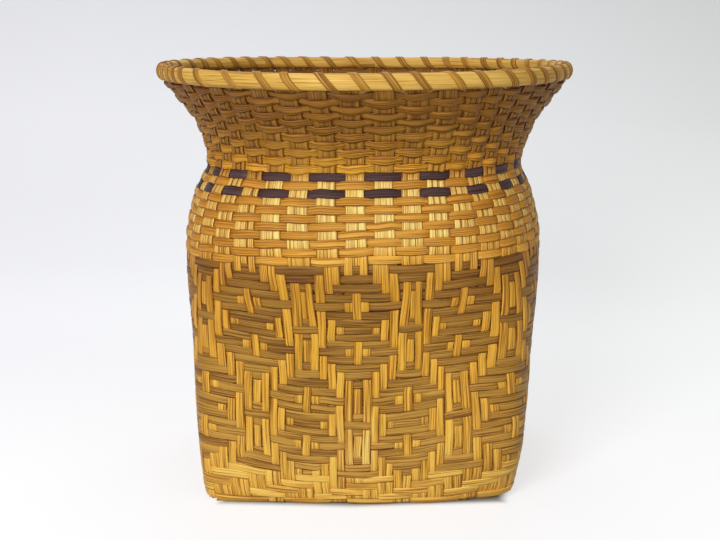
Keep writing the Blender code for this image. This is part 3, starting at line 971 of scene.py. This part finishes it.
def grain_noise(tree, along, across, lane, lines, waves, detail):
    """Noise drawn out along a splint, different on each one."""
    parts = ((along, waves), (across, lines), (lane, LANE_JUMP))
    spots = {axis: maths(tree, "MULTIPLY", *pair) for axis, pair in enumerate(parts)}
    inputs = {"Vector": add_node(tree, "CombineXYZ", spots).outputs[0], "Scale": 1.0}
    inputs |= {"Detail": detail, "Roughness": GRAIN_ROUGHNESS}
    return stretch(tree, add_node(tree, "TexNoise", inputs).outputs[0], *GRAIN_SPREAD)


GRAIN = splint_group()


def colour_ramp(tree, share, places, colours):
    """Colours at places from 0 to 1, with the colours between them blended."""
    ramp = add_node(tree, "ValToRGB", {0: share})
    points = ramp.color_ramp.elements
    while len(points) < len(places):
        points.new(0.5)
    for point, at, colour in zip(points, places, colours):
        point.position = at
        point.color = colour
    return ramp.outputs[0]


def zone_colours(tree, zones):
    """A colour that changes with the row, with painted shade at the corners and a painted
    highlight low in front, and the row's share.
    """
    times, plus, minus = sums(tree)
    place = add_node(tree, "UVMap", uv_map="place")
    turn, row = add_node(tree, "SeparateXYZ", {0: place.outputs[0]}).outputs[:2]
    shades = [linear(*shade) for _, *shade in zones]
    ramp = colour_ramp(tree, row, [at / ROWS for at, *_ in zones], shades)
    # Painted shade: the colour deepens towards the corners, most over the shoulder and neck rows
    wave = maths(tree, "COSINE", times(turn, SIDE_WAVES))
    corner = maths(tree, "POWER", times(minus(1.0, wave), 0.5), CORNER_SHADE_POWER)
    above = times(stretch(tree, row, *CORNER_SHADE_RISE), stretch(tree, row, *CORNER_SHADE_FALL))
    colour = blend_colours(tree, times(corner, above), ramp, CORNER_SHADE_TINT, "MULTIPLY")
    # A painted highlight: one pale place low on the middle of the front
    away = maths(tree, "DIVIDE", minus(turn, HIGHLIGHT_PLACE[0]), HIGHLIGHT_REACH[0])
    along = maths(tree, "DIVIDE", minus(row, HIGHLIGHT_PLACE[1]), HIGHLIGHT_REACH[1])
    far = plus(times(away, away), times(along, along))
    painted_highlight = stretch(tree, far, *HIGHLIGHT_EDGE, 1.0, 0.0)
    return blend_colours(tree, painted_highlight, colour, HIGHLIGHT_TINT, "MULTIPLY"), row


def new_material(name):
    """A material, its node tree and its shader's inputs."""
    material = bpy.data.materials.new(name)
    material.use_nodes = True
    tree = material.node_tree
    return material, tree, tree.nodes["Principled BSDF"].inputs


def splint_material(
    name, shade, grain=2.1, tone=0.4, patches=0.4, edges=0.7, lines=12.0, zones=()
):
    """Split wood of one colour, or of colours that change with the row."""
    material, tree, shader = new_material(name)
    shader["Specular IOR Level"].default_value = SPLINT_SHINE
    base = colour = linear(*shade)
    if zones:
        base, row = zone_colours(tree, zones)
        # The edges' darkening, partly wear and partly painted shade, is weaker at the foot
        edges = stretch(tree, row, *FOOT_EDGE_ROWS, edges * FOOT_EDGE_SHARE, edges)
    values = {"Lanes": add_node(tree, "UVMap", uv_map="splint").outputs[0], "Colour": base}
    values |= {"Deep Tint": DEEP_TINT, "Pale Tint": PALE_TINT}
    values |= zip(GRAIN_SETTINGS, (grain, tone, patches, edges, lines))
    grained = add_node(tree, "Group", values, node_tree=GRAIN).outputs
    relief = {"Strength": RELIEF_STRENGTH, "Distance": RELIEF_DEPTH, "Height": grained["Height"]}
    feed(shader["Base Color"], grained["Colour"])
    feed(shader["Roughness"], grained["Roughness"])
    feed(shader["Normal"], add_node(tree, "Bump", relief).outputs[0])
    material.diffuse_color = colour
    return material


# ---- the studio ----

SWEEP_REACH = 3.0
SWEEP_BACK = 0.4
SWEEP_RADIUS = 0.6
SWEEP_STEPS = 32
FLOOR_LEVEL = -0.0002
PAPER_COLOUR = (0.45, 0.455, 0.46, 1)

# The paper's glow to the left and right at some heights, and how the two and the front's
# glow are shared out over X and Y. The paper is clear from behind and at its far ends
GLOW_HEIGHTS = (0, 0.05, 0.12, 0.23, 0.4)
LEFT_GLOW = (0.6, 0.52, 0.484, 0.48, 0.412)
RIGHT_GLOW = (0.617, 0.545, 0.473, 0.365, 0.295)
FRONT_GLOW = (0.66, 0.66, 0.67, 1)
NO_GLOW = (0, 0, 0, 1)
LEFT_BLUE, RIGHT_GREEN = 0.03, 0.004
GLOW_SIDES, GLOW_FRONT = (-0.5, 0.5), (0.3, -0.2)
PAPER_ENDS = (1.3, 2.8)

# Round and under the base the paper's glow fades out, a painted contact shadow that adds to the
# real one: the middle of that patch, its narrowing sideways and its skew at the right front, and
# where its glow and its paper begin
SHADOW_PATCH_MIDDLE = (0.005, -0.004)
SHADOW_PATCH_NARROWING, SHADOW_PATCH_SKEW = 1.16, 1.25
SHADOW_PATCH_GLOW, SHADOW_PATCH_PAPER = (0.126, 0.139), (0.122, 0.124)

# Each lamp's place, size and power, and what they point at
LAMPS = {
    "key_lamp": ((-0.7, -2.1, 1.2), 0.9, 37),
    "fill_lamp": ((1.6, -1.7, 0.8), 1.2, 3.5),
    "back_lamp": ((0, 0.85, 1.25), 0.8, 6.5),
}
LAMP_TARGET = (0, 0, 0.17)
SKY_LIGHT, SKY_SEEN = 0.32, 0.54


def stage_material():
    """Matt paper that also glows a little for the camera, and is only seen from in front. Round
    the base its glow fades, a painted contact shadow.
    """
    material, tree, shader = new_material("white paper")
    times, plus, minus = sums(tree)
    highest = partial(maths, tree, "MAXIMUM")
    shader["Base Color"].default_value = PAPER_COLOUR
    shader["Roughness"].default_value = 1.0
    shader["Specular IOR Level"].default_value = 0.0
    shader["Emission Strength"].default_value = 1.0
    path = add_node(tree, "LightPath").outputs
    camera = path["Is Camera Ray"]
    seen = highest(camera, highest(path["Is Glossy Ray"], path["Is Transmission Ray"]))
    place = add_node(tree, "TexCoord").outputs["Object"]
    x, y, z = add_node(tree, "SeparateXYZ", {0: place}).outputs
    skew = times(times(highest(x, 0.0), maths(tree, "MINIMUM", y, 0.0)), SHADOW_PATCH_SKEW)
    level = maths(tree, "ABSOLUTE", plus(minus(y, SHADOW_PATCH_MIDDLE[1]), skew))
    sideways = times(maths(tree, "ABSOLUTE", minus(x, SHADOW_PATCH_MIDDLE[0])), SHADOW_PATCH_NARROWING)
    reach = highest(sideways, level)
    # Painted contact shadow: the glow fades in a patch round the base
    clear = stretch(tree, reach, *SHADOW_PATCH_GLOW, kind="SMOOTHSTEP")
    under = times(stretch(tree, reach, *SHADOW_PATCH_PAPER, 1.0, 0.0), minus(1.0, camera))
    share = maths(tree, "DIVIDE", z, GLOW_HEIGHTS[-1], clamp=True)
    places = [height / GLOW_HEIGHTS[-1] for height in GLOW_HEIGHTS]
    left = [(value, value, value + LEFT_BLUE, 1) for value in LEFT_GLOW]
    right = [(value - RIGHT_GREEN, value + RIGHT_GREEN, value, 1) for value in RIGHT_GLOW]
    left, right = (colour_ramp(tree, share, places, glow) for glow in (left, right))
    glow = blend_colours(tree, stretch(tree, x, *GLOW_SIDES), left, right)
    glow = blend_colours(tree, stretch(tree, y, *GLOW_FRONT), glow, FRONT_GLOW)
    glow = blend_colours(tree, times(seen, clear), NO_GLOW, glow)
    feed(shader["Emission Color"], glow)
    behind = add_node(tree, "NewGeometry").outputs["Backfacing"]
    ends = stretch(tree, maths(tree, "ABSOLUTE", x), *PAPER_ENDS)
    feed(shader["Alpha"], minus(1.0, highest(under, highest(behind, ends))))
    return material


def make_sweep():
    """A sheet of paper that is the floor and then curves up behind the basket."""
    mesh = bmesh.new()
    bends = np.linspace(0, math.pi / 2, SWEEP_STEPS + 1)
    curve = stack(SWEEP_BACK + np.sin(bends) * SWEEP_RADIUS, (1 - np.cos(bends)) * SWEEP_RADIUS)
    ends = (-SWEEP_REACH, 0), curve[-1] + (0, SWEEP_REACH)
    places = (ends[0], *curve, ends[1])
    line = [mesh.verts.new((-SWEEP_REACH, y, z + FLOOR_LEVEL)) for y, z in places]
    edges = [mesh.edges.new(pair) for pair in zip(line, line[1:])]
    made = bmesh.ops.extrude_edge_only(mesh, edges=edges)["geom"]
    points = [part for part in made if isinstance(part, bmesh.types.BMVert)]
    bmesh.ops.translate(mesh, verts=points, vec=(SWEEP_REACH * 2, 0, 0))
    close_mesh(mesh, seam=False)
    mesh.faces.ensure_lookup_table()
    if mesh.faces[0].normal.z < 0:
        bmesh.ops.reverse_faces(mesh, faces=mesh.faces)
    data = bpy.data.meshes.new("paper_sweep")
    fill_data(data, mesh, stage_material())
    place_object("paper_sweep", data)


def aim(item, place, look):
    """Puts a lamp or camera at a place, looking along a line."""
    item.location = place
    item.rotation_mode = "QUATERNION"
    item.rotation_quaternion = look.to_track_quat("-Z", "Y")


def make_studio():
    make_sweep()
    for name, (place, size, power) in LAMPS.items():
        data = bpy.data.lights.new(name, "AREA")
        data.shape = "SQUARE"
        data.size = size
        data.energy = power
        aim(place_object(name, data), place, Vector(LAMP_TARGET) - Vector(place))
    world = bpy.data.worlds.new("studio light")
    bpy.context.scene.world = world
    world.use_nodes = True
    tree = world.node_tree
    sky = tree.nodes["Background"].inputs
    sky[0].default_value = (1, 1, 1, 1)
    seen = add_node(tree, "LightPath").outputs["Is Camera Ray"]
    feed(sky[1], stretch(tree, seen, 0, 1, SKY_LIGHT, SKY_LIGHT + SKY_SEEN))


CAMERA_PIXELS = 1331
PHOTO_WIDTH = 720
SENSOR = 36
CAMERA_DISTANCE = 1.15
CAMERA_TURN = math.radians(3.5)
CAMERA_HEIGHT = 0.388
CAMERA_TILT = 0.19
CAMERA_HEADING = CAMERA_TURN + 0.0045


def make_camera():
    data = bpy.data.cameras.new("camera")
    data.sensor_width = SENSOR
    data.lens = CAMERA_PIXELS / PHOTO_WIDTH * SENSOR
    place = Vector((math.sin(CAMERA_TURN), -math.cos(CAMERA_TURN), 0)) * CAMERA_DISTANCE
    place.z = CAMERA_HEIGHT
    look = (-math.sin(CAMERA_HEADING), math.cos(CAMERA_HEADING), -math.tan(CAMERA_TILT))
    item = place_object("camera", data)
    aim(item, place, Vector(look))
    bpy.context.scene.camera = item


# ---- all of it ----


def make_basket():
    make = splint_material
    stakes = make("golden stake splint", (232, 170, 58), tone=0.3, edges=0.8, zones=STAKE_ZONES)
    natural = make("natural splint", (248, 190, 78), edges=0.5)
    brown = (166, 116, 38)
    # Tone and patches of their own, and darker edges that are partly wear and partly painted shade
    worn_and_shaded = {"tone": 0.5, "patches": 0.5, "edges": 0.95}
    twill = make("olive brown splint", brown, zones=TWILL_ZONES, **worn_and_shaded)
    tan = make("orange tan splint", (206, 146, 56), grain=1.7, lines=14.0, zones=SHOULDER_ZONES)
    dark = make("dark splint", (78, 51, 48))
    flare = make("flare splint", brown, tone=0.5, edges=0.85, zones=FLARE_ZONES)
    cane = make("yellow hoop cane", (229, 181, 82), grain=1.0, lines=14.0, edges=0.1)
    lashing = make("brown lashing splint", (184, 131, 40), grain=2.2, lines=10.0)
    make_floor(natural)
    for number in range(len(SIDES)):
        make_stakes(number, stakes)
    dress(make_weavers("foot_weavers", 0, FOOT_ROWS, natural), "natural_splint", "base_courses")
    for band, row in enumerate(range(FOOT_ROWS, LOWER_ROWS, BAND_ROWS), 1):
        item = make_weavers(f"twill_weavers_{band}", row, BAND_ROWS, twill)
        dress(item, "brown_splint", "twill_courses")
    nodes = [(f"shoulder_weaver_{n + 1}", tan, "tan_splint") for n in range(SHOULDER_ROWS)]
    nodes += [("lower_dark_weaver", dark, "dark_splint"), ("tan_weaver", tan, "tan_splint")]
    nodes += [("upper_dark_weaver", dark, "dark_splint")]
    nodes += [(f"flare_weaver_{n + 1}", flare, "flare_splint") for n in range(FLARE_ROWS)]
    for row, (node, material, slot) in enumerate(nodes, LOWER_ROWS):
        dress(make_weavers(f"{node}_splint", row, 1, material), slot, node)
    make_hoop("outer_hoop_cane", 1, 0.0, cane, "outer_rim_hoop")
    make_hoop("inner_hoop_cane", -1, INNER_HOOP_RISE, cane, "inner_rim_hoop")
    for number in range(2):
        make_lashing(number, lashing)


bpy.context.scene.view_settings.view_transform = "Standard"
make_basket()
make_studio()
make_camera()
